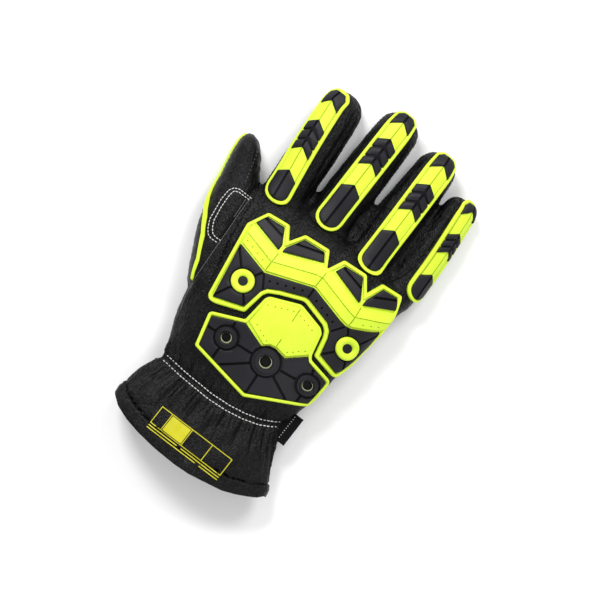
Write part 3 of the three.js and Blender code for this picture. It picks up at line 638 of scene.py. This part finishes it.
def slab(name, chart, outline, loops, mat, slot_name, nodes=(), holes=(), top=None, grooves=(), dots=(),
         radius=1.2, step=1.0, spacing=1.6, bottom=BOTTOM, groove_shade_mat=None):
    """A moulded piece on a chart. loops are (inset, height) from the edge inwards, top(xy) is the height
    inside them, grooves are (path, half width, depth), dots are (x, y, radius, depth) and holes are
    ((x, y, radius), [(growth, height), ...])."""
    rings = [(rounded(shrink(outline, inset), max(radius - inset * 0.3, 0.3), step), height)
             for inset, height in loops]
    inner, inner_height = rings[-1]
    for (x, y, r), sizes in holes:
        rings += [(circle(x, y, r + grow), height) for grow, height in sizes]
    verts, heights, edges = [], [], []
    for path, height in rings:
        first = len(verts)
        verts += path.tolist()
        heights += [height] * len(path)
        edges += [(first + i, first + (i + 1) % len(path)) for i in range(len(path))]
    xy = np.array(verts)

    # free points inside: an even field, and lines along the grooves and round the dots
    lo, hi = xy.min(0), xy.max(0)
    gx, gy = np.meshgrid(np.arange(lo[0], hi[0], spacing), np.arange(lo[1], hi[1], spacing * 0.866))
    gx[1::2] += spacing / 2
    field = np.stack([gx.ravel(), gy.ravel()], 1)
    lower, upper = GROOVE_LINES
    free = []
    for path, width, _ in grooves:
        path = np.array(path, float)
        for s, e in zip(path[:-1], path[1:]):
            d = (e - s) / np.linalg.norm(e - s)
            side = np.array([-d[1], d[0]])
            t = np.arange(0, np.linalg.norm(e - s), GROOVE_STEP)[:, None]
            free += [s + d * t + side * k * width for k in (-upper, -lower, 0, lower, upper)]
    for x, y, r, _ in dots:
        free += [circle(x, y, q * r, 10) for q in (0.02, lower, upper)]
    near = [distance(field, path, closed=False) - upper * width for path, width, _ in grooves]
    near += [np.hypot(field[:, 0] - x, field[:, 1] - y) - upper * r for x, y, r, _ in dots]
    if near:
        field = field[np.minimum.reduce(near) > 0.4]
    free = np.concatenate([field, *free])
    good = inside(free, inner) & (distance(free, inner) > CLEAR)
    for (x, y, r), sizes in holes:
        good &= np.hypot(free[:, 0] - x, free[:, 1] - y) > r + max(grow for grow, _ in sizes) + CLEAR
    free = free[good]
    free = free[np.unique(np.round(free / SAME).astype(int), axis=0, return_index=True)[1]]
    sink = np.zeros(len(free))
    for path, width, depth in grooves:
        sink = np.maximum(sink, carved(distance(free, path, closed=False), width, depth))
    for x, y, r, depth in dots:
        sink = np.maximum(sink, carved(np.hypot(free[:, 0] - x, free[:, 1] - y), r, depth))
    xy = np.concatenate([xy, free]) if len(free) else xy
    h = np.concatenate([heights, (top(free) if top else np.full(len(free), inner_height)) - sink])

    # the upper face, in triangles
    out = delaunay_2d_cdt([Vector(v) for v in xy], edges, [], 0, 1e-5)
    at = np.array([list(v) for v in out[0]])
    tall = np.array([h[source[0]] if source else h.mean() for source in out[3]])
    tris = np.array([list(f) for f in out[2]])
    mid = at[tris].mean(1)
    good = inside(mid, rings[0][0])
    for (x, y, r), sizes in holes:
        good &= np.hypot(mid[:, 0] - x, mid[:, 1] - y) > r + min(grow for grow, _ in sizes)
    tris, mid = tris[good], mid[good]
    cross = np.cross(at[tris[:, 1]] - at[tris[:, 0]], at[tris[:, 2]] - at[tris[:, 0]])
    tris = np.where((cross > 0)[:, None], tris, tris[:, ::-1])
    where, n = chart(at)

    # the walls down to the leather, along every open edge
    around = {(int(t[i]), int(t[(i + 1) % 3])): True for t in tris for i in range(3)}
    walls = [(a, b) for a, b in around if (b, a) not in around]
    rim = sorted({v for w in walls for v in w})
    index = {v: len(at) + i for i, v in enumerate(rim)}
    faces = tris.tolist() + [(b, a, index[a], index[b]) for a, b in walls]
    points = np.concatenate([where + n * tall[:, None], where[rim] + n[rim] * bottom])
    made = mesh_object(name, points, faces)
    made.data.set_sharp_from_angle(angle=math.radians(38))
    finish_piece(made, mat, slot_name, *nodes)
    # painted shade: faces down in the grooves and dots get a darker material, where shade falls in them
    if groove_shade_mat:
        shaded = np.zeros(len(tris), bool)
        for path, width, _ in grooves:
            shaded |= distance(mid, path, closed=False) < 0.95 * width
        for x, y, r, _ in dots:
            shaded |= np.hypot(mid[:, 0] - x, mid[:, 1] - y) < 0.95 * r
        shaded &= inside(mid, inner)
        made.data.materials.append(groove_shade_mat)
        marks = np.concatenate([shaded, np.zeros(len(walls), bool)]).astype(int)
        made.data.polygons.foreach_set("material_index", marks)
    return made


def cuts(width, depth, *paths):
    return [(path, width, depth) for path in paths]


# Loops of the moulded parts: how far in from the edge, and how high above the leather
FLOOR = 1.5
RIM = [(0, 1.5), (0.12, 2.3), (0.4, 2.8), (0.8, 3.0), (1.5, 3.0), (1.85, 2.8), (2.1, 2.3), (2.2, FLOOR)]
PAD = [(0, 1.7), (0.1, 2.3), (0.35, 2.7), (0.7, 2.85)]
KNUCKLE = [
    (-39.5, 9.3), (-36, 9.6), (-18.3, 16.6), (-16, 31.5), (-14.3, 34.3), (-8, 37.8), (5.4, 43.6),
    (7.4, 43.6), (23.5, 39.5), (26.3, 37.4), (28, 34.2), (30.8, 21.5), (47, 18.3), (49.8, 19.4),
    (52, 24), (56, 33), (58.5, 46), (57.5, 60), (55.7, 70), (50.4, 83), (37.2, 81.6), (32.8, 71),
    (26, 80), (10, 78.6), (5, 67.8), (-0.8, 78), (-17.8, 76.2), (-23.4, 66.8), (-29, 75),
    (-43.4, 73.2), (-49.4, 60), (-41.8, 11.5),
]
SHIELD = [
    (-34.8, 3), (-33.6, 4.9), (-15.2, 13.4), (-13.6, 30.8), (-12, 33.4), (5.4, 41.1), (7.6, 41.1),
    (23.4, 37.4), (26.2, 35), (29.4, 20.8), (31, 18.6), (46.6, 15.6), (48.6, 13.4), (48.2, 0),
    (47, -5.2), (12, -24.6), (-29.4, -18),
]

slab("knuckle_rim", hand_chart, KNUCKLE, RIM, YELLOW, "yellow_rubber", ["knuckle_guard"])
BAND = [(-46.6, 62.6), (-24, 57.4), (1, 68.4), (10, 68.8), (33, 62.4), (36, 62.4), (55, 73),
        (56.4, 60), (38, 49.4), (34, 48.6), (30, 49.2), (6.5, 55), (5, 54.8), (-23.5, 43.8), (-45, 49)]
FOLD = [(-47, 56.3), (-24, 50.5), (3, 61.5), (7, 61.7), (30, 55.8), (35, 55), (56, 66)]


def band_top(xy):
    """The band is highest along its fold."""
    return 3.7 - 0.2 * np.abs(distance(xy, FOLD, closed=False))


fold_lines = cuts(0.3, 0.35, FOLD) + cuts(0.32, 0.4, [(-23.6, 57.5), (-23.6, 44)],
                                          [(6, 68), (5.7, 55.5)], [(35, 62), (35.6, 49.5)])
DOT = (0.42, 0.45)  # radius and depth
band_dots = [(x, y, *DOT) for x, y in [(-42.5, 51.8), (-38, 50.7), (-33.4, 49.4), (-28.6, 48.2),
                                       (42, 54.3), (46, 56.8), (50, 59.2)]]
slab("knuckle_band", hand_chart, BAND, [(0, 1.6), (0.15, 2.3), (0.5, 2.75)], YELLOW, "yellow_rubber",
     top=band_top, grooves=fold_lines, dots=band_dots, radius=0.5, groove_shade_mat=CREASE_SHADE)
# the four pads along the top, each with the slit across it
PEAKS = [
    ([(-45.6, 63.6), (-43.6, 69), (-42.2, 70.7), (-30.4, 72), (-25, 62.6), (-25, 58.7)],
     [(-43.6, 69.6), (-27, 66.7)]),
    ([(-22.6, 59.2), (-22.6, 62.4), (-16.4, 73.6), (-2.3, 75), (1.2, 69.6)], [(-20, 67.8), (-2, 74)]),
    ([(9.8, 69.8), (12.4, 76), (25.2, 77.3), (32.4, 65.4), (32.4, 63.4)], [(11, 75), (30.5, 70.8)]),
    ([(34.8, 63.4), (34.8, 67.6), (39.2, 79), (48.8, 80.2), (54, 74.2)], [(36.2, 71.2), (51, 80)]),
]
for i, (pad, groove) in enumerate(PEAKS):
    slab(f"knuckle_pad_{i + 1}", hand_chart, pad, PAD, BLACK, "black_rubber", [f"knuckle_pad_{i + 1}"],
         grooves=[(groove, 0.6, 1.15)], radius=0.6, groove_shade_mat=SHADE_RUBBER)
FIELD = [
    (-38.9, 12), (-20.4, 18.9), (-18.2, 32), (-16.2, 36), (-9.2, 40.2), (5.4, 46.4), (7.6, 46.4),
    (24.6, 42.2), (28.7, 38.9), (30.6, 34.8), (33, 24.2), (47, 21), (49.2, 23.6), (53.3, 33.6),
    (56, 46), (54.8, 57.4), (38, 48.2), (34, 47.6), (30, 48.2), (6.5, 54), (5, 53.8), (-23.4, 42.8),
    (-45, 47.9),
]
RINGS = [(-30.3, 30.8), (43.4, 37.3)]
RING_RADIUS, RING_HOLE, RING_SEAT = 7.2, 2.9, 7.75
SHADE_BED = [(0, 1.6), (0.3, 1.9)]  # painted shade: low dark sheets under the slits and round the rings, where shade falls
slab("knuckle_shade_sheet", hand_chart, shrink(FIELD, 0.25), SHADE_BED, SHADE_RUBBER, "black_rubber", radius=0.7)
left_ring, right_ring = RINGS
field_grooves = (
    cuts(0.6, 1.1, *[[left_ring, end] for end in [(-45, 47), (-23.4, 43), (-39, 12.6), (-20.6, 19.4)]])
    + cuts(0.5, 1.15, [(-23.4, 43), (-17.6, 34)], [(6.1, 54), (6.3, 46)])
    + cuts(0.6, 1.1, *[[right_ring, end] for end in [(35.6, 48), (54.6, 56), (49.6, 25), (33, 25)]])
    + cuts(0.5, 1.15, [(34.5, 47.5), (29, 39.4)])
)
field_dots = [(x, y, 0.6, 1.0) for x, y in [
    (-17.5, 40.6), (-13, 42.4), (-8.3, 44.4), (-3.6, 46.4), (1.2, 48.4), (11.5, 48.6), (16.5, 47.3),
    (21.5, 45.9), (26.5, 44.6)]]
slab("knuckle_field", hand_chart, FIELD, PAD, BLACK, "black_rubber", ["knuckle_field"], radius=0.7,
     holes=[((x, y, RING_SEAT), [(0, 1.6), (0.3, 2.6)]) for x, y in RINGS], grooves=field_grooves,
     dots=field_dots, groove_shade_mat=SHADE_RUBBER)
RING = [(0, 1.4), (0.1, 2.7), (0.5, 3.4), (1.2, 3.75), (2.2, 3.7), (3.2, 3.3)]
for name, (x, y) in zip(("ring_left", "ring_right"), RINGS):
    slab(name, hand_chart, circle(x, y, RING_RADIUS, 48), RING, YELLOW, "yellow_rubber", [name], radius=0.2,
         step=2, holes=[((x, y, RING_HOLE), [(0, 1.6), (0.15, 2.4), (0.6, 3.0)])])
    slab(name + "_plug", hand_chart, circle(x, y, RING_HOLE + 0.4, 24), [(0, 1.6), (0.5, 2.1)], BLACK,
         "black_rubber", radius=0.2, step=2)

# The guard over the back of the hand
FACE = [(-12.7, 13.9), (-11.9, 30.4), (-10.6, 32.4), (5.7, 39.4), (7.4, 39.4), (22.6, 35.9), (24.8, 34),
        (27.9, 20.4), (17.4, 10.6), (14.6, 10.9), (10.2, 11.6), (6, 10.8), (2.6, 8)]
slab("shield_rim", hand_chart, SHIELD, RIM, YELLOW, "yellow_rubber", ["shield_guard"])
face_dots = [(x, y, *DOT) for x, y in [
    (-9.6, 28.6), (-5.5, 30.5), (-2, 32), (1.2, 33.8), (4.7, 35.2), (9.5, 35.4), (13, 34.8), (16.5, 34),
    (20, 33), (-7.5, 15.3), (-4, 13.8), (-0.5, 12.4), (2.7, 11), (24.5, 20.4), (21.5, 17.8), (19.2, 15.4),
    (16.5, 13.2)]]
slab("shield_face", hand_chart, FACE, [(0, 1.6), (0.15, 2.6), (0.45, 3.05)], YELLOW, "yellow_rubber",
     top=lambda q: 3.25 - 0.012 * np.abs(q[:, 0] - 8), radius=0.6,
     grooves=cuts(0.3, 0.35, [(7, 38.6), (7.6, 30)], [(9, 17.5), (9.3, 12.4)]), dots=face_dots,
     groove_shade_mat=CREASE_SHADE)
PLATES = [(-32.2, 2.6), (-13.4, 11.9), (2.2, 6.8), (6, 9.9), (10.2, 10.8), (14.4, 10.1), (17.8, 9.6),
          (28.6, 19.3), (31.4, 16.2), (45.6, 13.3), (46.2, 12.2), (45.7, -3.9), (11.6, -22.2), (-27.8, -16)]
BOSSES = [(-17.3, -2.4, 6.9, 3.2), (10, 0.6, 8.7, 3.8), (38, 4.7, 6.7, 3.2)]  # x, y, radius, hole
left_boss, middle_boss, right_boss = [(x, y) for x, y, _, _ in BOSSES]
plate_grooves = cuts(
    0.65, 1.15,
    *[[left_boss, end] for end in [(-18.6, 9), (-31.4, -4), (-16.4, -18), middle_boss]],
    *[[middle_boss, end] for end in [(-11.5, -18.5), (11.8, -22), (33.4, -10.5), right_boss]],
    *[[right_boss, end] for end in [(34.6, 16), (46, 8.4), (38.4, -8)]],
)
# painted shade: a dark sheet under the slits between the plates
slab("shield_shade_sheet", hand_chart, shrink(PLATES, 0.25), SHADE_BED, SHADE_RUBBER, "black_rubber", radius=0.7)
slab("shield_field", hand_chart, PLATES, PAD, BLACK, "black_rubber", ["shield_field"], radius=0.7,
     grooves=plate_grooves, holes=[((x, y, r + 0.8), [(0, 1.6), (0.3, 2.5)]) for x, y, r, _ in BOSSES],
     groove_shade_mat=SHADE_RUBBER)
# each boss is a stepped ring; a pale ring in its hole is a painted highlight on the hole's lit lip, and a
# near-black core set off to one side inside it is painted shade in the hole
BOSS = [(0, 1.4), (0.1, 2.6), (0.45, 3.2), (1.5, 3.3), (1.7, 3.75), (2.2, 3.95)]
SHADE_CORE = [(0, 2.4), (0.12, 3.1), (0.7, 3.2), (0.9, 2.7)]
for i, (x, y, r, hole) in enumerate(BOSSES):
    boss = f"boss_{i + 1}"
    slab(boss, hand_chart, circle(x, y, r, 48), BOSS, BLACK, "black_rubber", [boss], radius=0.2, step=2,
         holes=[((x, y, hole), [(0, 1.4), (0.15, 2.8), (0.6, 3.7)])])
    slab(boss + "_painted_glint", hand_chart, circle(x, y, hole + 0.2, 32), [(0, 1.6), (0.1, 2.5)], GLINT_RUBBER,
         "yellow_rubber", radius=0.2, step=2)
    # painted shade: a near-black core fills the hole, where shade falls
    slab(boss + "_shade_core", hand_chart, circle(x - 0.22, y + 0.28, hole - 0.3, 32), SHADE_CORE, SHADE_RUBBER,
         "black_rubber", radius=0.2, step=2)

# The finger guards: a yellow tray with a base pad, three chevrons and a tip pad in it
GUARD_HALF = 8.5
RIM_WIDTH = 2.2
FINGER_RIM = RIM[:-1] + [(RIM_WIDTH, 2.2)]
FINGER_PAD = [(0, 2.1), (0.1, 3.0), (0.35, 3.3)]
PEAK = 4.6  # how far a chevron's middle is ahead of its ends
GAP = 0.95  # between two chevrons
for name, f in FINGERS.items():
    lobe = FINGER_LOBES[name]
    chart = finger_chart(lobe, math.radians(f["roll"]), math.radians(f["turn"]))
    half = GUARD_HALF * min(1, f["mid"] / 24)
    top = lobe[2] - lobe[3] + lobe[3] * f["over"]
    side = half - RIM_WIDTH
    mid_y = f["start"] + half

    def bow(width):
        """The round end near the knuckles."""
        return [(width * math.cos(math.pi * (1 + s)), mid_y + width * math.sin(math.pi * (1 + s)))
                for s in np.linspace(0, 1, 9)]

    def ridged(edge, rise):
        """A height over the guard: edge at its two sides, and rise more along its middle."""
        return lambda xy, side=side: edge + rise * (1 - np.abs(xy[:, 0]) / side)

    def put(part, path, slit_from, slit_to):
        slab(f"{name}_{part}", chart, path, FINGER_PAD, BLACK, "black_rubber", [f"{name}_{part}"],
             top=ridged(3.35, 0.65), grooves=cuts(0.5, 1.0, [(0, slit_from), (0, slit_to)]), radius=0.5,
             spacing=1.3, step=0.9, groove_shade_mat=SHADE_RUBBER)

    def chevron(wide, low, high):
        return [(-wide, low), (0, low + PEAK), (wide, low), (wide, high), (0, high + PEAK), (-wide, high)]

    outline = bow(half) + [(half, top - 4), (half - 4, top), (4 - half, top), (-half, top - 4)]
    rim_lines = [[(x, mid_y), (x, top - 4)] for x in (0.45 - side, side - 0.45)]
    slab(f"{name}_rim", chart, outline, FINGER_RIM, YELLOW, "yellow_rubber", [f"{name}_guard"],
         top=ridged(2.35, 0.45), radius=1.5, groove_shade_mat=CREASE_SHADE,
         grooves=cuts(0.28, 0.35, [(0, f["pad"]), (0, top - 4)]) + cuts(0.24, 0.4, *rim_lines))
    base_pad = bow(side) + [(side, f["pad"] - PEAK), (0, f["pad"]), (-side, f["pad"] - PEAK)]
    put("base_pad", base_pad, f["start"] + 3, f["pad"])
    # painted shade: a dark sheet in the gaps between the chevrons
    slab(f"{name}_chevron_shade_sheet", chart, chevron(side - 0.6, f["low"] + 0.3, f["high"] - PEAK - 0.3),
         [(0, 2.2), (0.2, 2.5)], SHADE_RUBBER, "black_rubber", radius=0.4, spacing=1.3, top=ridged(2.5, 0.45))
    pitch = (f["high"] - PEAK - f["low"] + GAP) / 3
    for k in range(3):
        y = f["low"] + k * pitch
        put(f"chevron_{k + 1}", chevron(side - 0.1, y, y + pitch - GAP), y, y + pitch + PEAK)
    tip_pad = [(-side, f["end"]), (0, f["end"] + PEAK), (side, f["end"]), (side, top - 5.4),
               (side - 2.6, top - 2.45), (2.6 - side, top - 2.45), (-side, top - 5.4)]
    put("tip_pad", tip_pad, f["end"], top)

# The thumb's narrow guard up its outer side
STRIP_TURN = [(10, 0.66), (24, 0.88), (38, 0.86), (48, 0.64), (57, 0.25), (66, -0.15), (76, -0.4),
              (110, -0.45)]


def strip_turn(xy, w, h):
    return -math.pi / 2 + line(STRIP_TURN, xy[:, 1]) + xy[:, 0] / h


thumb_chart = end_chart(THUMB_LOBE, strip_turn)
STRIP_RIM = [(0, 0.6), (0.12, 1.1), (0.3, 1.35), (0.55, 1.45)]
STRIP_HALF = [(12, 0.6), (20, 1.3), (44, 1.6), (60, 2.8), (78, 3.8), (95, 3.8), (102.5, 2.2)]
strip = [(half, y) for y, half in STRIP_HALF] + [(-half, y) for y, half in STRIP_HALF[::-1]]
slab("thumb_strip", thumb_chart, strip, STRIP_RIM, YELLOW, "yellow_rubber", ["thumb_guard"], radius=1.5,
     step=0.8)

# Stitches: short capsules of thread that lie on the leather
STITCH_SIDES = 6
STITCH_RINGS = [(-0.5, 0.35), (-0.32, 1), (0, 1.15), (0.32, 1), (0.5, 0.35)]  # place along it, thickness
STITCH_LIFT = 0.2


def stitches(name, rows, pitch=2.3, dash=1.65, radius=0.3, chart=above, mat=THREAD):
    """One piece of all the rows: a stitch of length dash at every pitch."""
    turns = np.arange(STITCH_SIDES) * 2 * math.pi / STITCH_SIDES
    points, faces = [], []
    for path in rows:
        path = np.array(path, float)
        steps = np.concatenate([[0], np.cumsum(np.linalg.norm(np.diff(path, axis=0), axis=1))])
        at = np.arange(pitch / 2, steps[-1], pitch)
        pick = lambda s: np.stack([np.interp(s, steps, path[:, 0]), np.interp(s, steps, path[:, 1])], 1)
        a, n = chart(pick(at - dash / 2))
        b, _ = chart(pick(at + dash / 2))
        for s, e, u in zip(a, b, n):
            d = (e - s) / max(np.linalg.norm(e - s), 1e-6)
            q = np.cross(d, u)
            q /= max(np.linalg.norm(q), 1e-6)
            v = np.cross(q, d)
            first = len(points)
            for share, fat in STITCH_RINGS:
                c = (s + e) / 2 + d * share * dash * 1.1 + v * STITCH_LIFT
                points += [c + (q * math.cos(t) + v * math.sin(t) * 0.8) * radius * fat for t in turns]
            last = len(points) - STITCH_SIDES
            for j in range(first, last, STITCH_SIDES):
                for k in range(STITCH_SIDES):
                    nxt = (k + 1) % STITCH_SIDES
                    faces.append((j + k, j + nxt, j + STITCH_SIDES + nxt, j + STITCH_SIDES + k))
            faces += [tuple(range(first, first + STITCH_SIDES))[::-1], tuple(range(last, last + STITCH_SIDES))]
    return finish_piece(mesh_object(name, points, faces), mat, "leather")


def shifted(table, dy, low, high):
    x = np.arange(low, high, 2)
    return np.stack([x, line(table, x) + dy], 1)


stitches("wrist_stitches", [shifted(WRIST, 1.9, -40, 40.5), shifted(WRIST, -1.9, -40, 41)])
stitches("thumb_stitches", [
    [(-57.5, 73.5), (-67, 73.5), (-70, 72), (-71.8, 69), (-72, 62), (-71, 55), (-70, 48), (-67.5, 43),
     (-65, 40), (-62, 39.2), (-57, 39.5)],
    [(-58, 72), (-66, 71.8), (-69, 70.5), (-69.5, 66), (-69, 58), (-67.5, 49), (-65.5, 45), (-63, 42),
     (-60, 41.5), (-56.8, 41.7)],
], radius=0.26, pitch=2.1, dash=1.5)
stitches("thumb_seam", [
    [(-58.6, 74), (-58, 61), (-56.9, 46), (-56.2, 33), (-55.6, 25), (-55, 14)],
    [(-60.2, 71), (-59.6, 64), (-59, 57)], [(-53.5, 6), (-52.4, 0), (-50.4, -6)],
], radius=0.2, pitch=1.9, dash=1.75, mat=GREY_THREAD)
stitches("thumb_side_seam", [[(-73.4, 99), (-72, 97), (-69.5, 88), (-66.5, 78)]], radius=0.16, pitch=2.4,
         dash=1.2, mat=GREY_THREAD)
TAG_TOP = 17.25  # the side tag's upper face
stitches("tag_edge", [[(45.2, -14.6), (45.2, -32)], [(56.5, -14.6), (56.5, -32)]], radius=0.2, pitch=1.7,
         dash=0.6, chart=lambda xy: flat(xy, TAG_TOP))

# The printed panel on the cuff, left without words: frames and blocks only
FRAME_LINES = [
    (-22.5, -59.3, 31, -58.8), (-22.5, -71.2, 31, -70.7), (-22.5, -71.2, -22, -58.8),
    (30.5, -71.2, 31, -58.8), (-14.8, -71.2, -14.3, -58.8), (0.6, -71.2, 1.1, -58.8),
    (15.8, -71.2, 16.3, -58.8), (-13.8, -70.2, 0.1, -59.8), (-22.5, -72.9, -1, -72.3),
    (2, -72.9, 31, -72.3), (-22.5, -74.6, 14, -74), (17, -74.6, 31, -74),
]
SLANT = 0.01
for i, (x1, y1, x2, y2) in enumerate(FRAME_LINES):
    box = [(x, y + SLANT * x) for x, y in [(x1, y1), (x2, y1), (x2, y2), (x1, y2)]]
    slab(f"print_{i + 1}", above, box, [(0, 0.12)], PRINT, "leather", radius=0.15, step=1.2, spacing=1.5,
         bottom=-0.1)

# The side tag is the solid itself, in woven tape
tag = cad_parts["side_tag"]
tag.data.materials.clear()
tag.data.materials.append(TAPE)

# Floor, light and camera
bpy.ops.mesh.primitive_plane_add(size=8, location=(0, 0, 0))
floor = bpy.context.object
floor.name = "floor"
floor.data.materials.append(material("pale_floor", (0.86, 0.86, 0.86), 0.7))
world = bpy.data.worlds.new("studio")
world.use_nodes = True
background = world.node_tree.nodes["Background"]
background.inputs["Color"].default_value = (1, 1, 1, 1)
background.inputs["Strength"].default_value = 0.56
scene = bpy.context.scene
scene.world = world
LAMPS = [  # name, place in metres, watts, size in metres
    ("key", (-1.0, 0.75, 1.3), 22, 0.55),
    ("fill", (0.9, -0.7, 1.4), 10, 1.2),
    ("rim", (0.1, 1.3, 1.2), 14, 0.6),
]
for name, place, power, wide in LAMPS:
    light = bpy.data.lights.new(name, "AREA")
    light.energy, light.size = power, wide
    lamp = bpy.data.objects.new(name, light)
    lamp.location = place
    lamp.rotation_euler = (Vector((0, 0.04, 0)) - Vector(place)).to_track_quat("-Z", "Y").to_euler()
    scene.collection.objects.link(lamp)
camera = bpy.data.cameras.new("camera")
camera.lens = 200
camera.sensor_width = 36
# from straight above, turned so that the glove lies aslant
shot = bpy.data.objects.new("camera", camera)
shot.location = (-0.0007, 0.0435, 2.02)
shot.rotation_euler = (0, 0, math.radians(38))
scene.collection.objects.link(shot)
scene.camera = shot
scene.render.engine = "CYCLES"
scene.cycles.samples = 128
scene.cycles.use_denoising = True
scene.render.resolution_x = scene.render.resolution_y = 590
scene.view_settings.view_transform = "Standard"
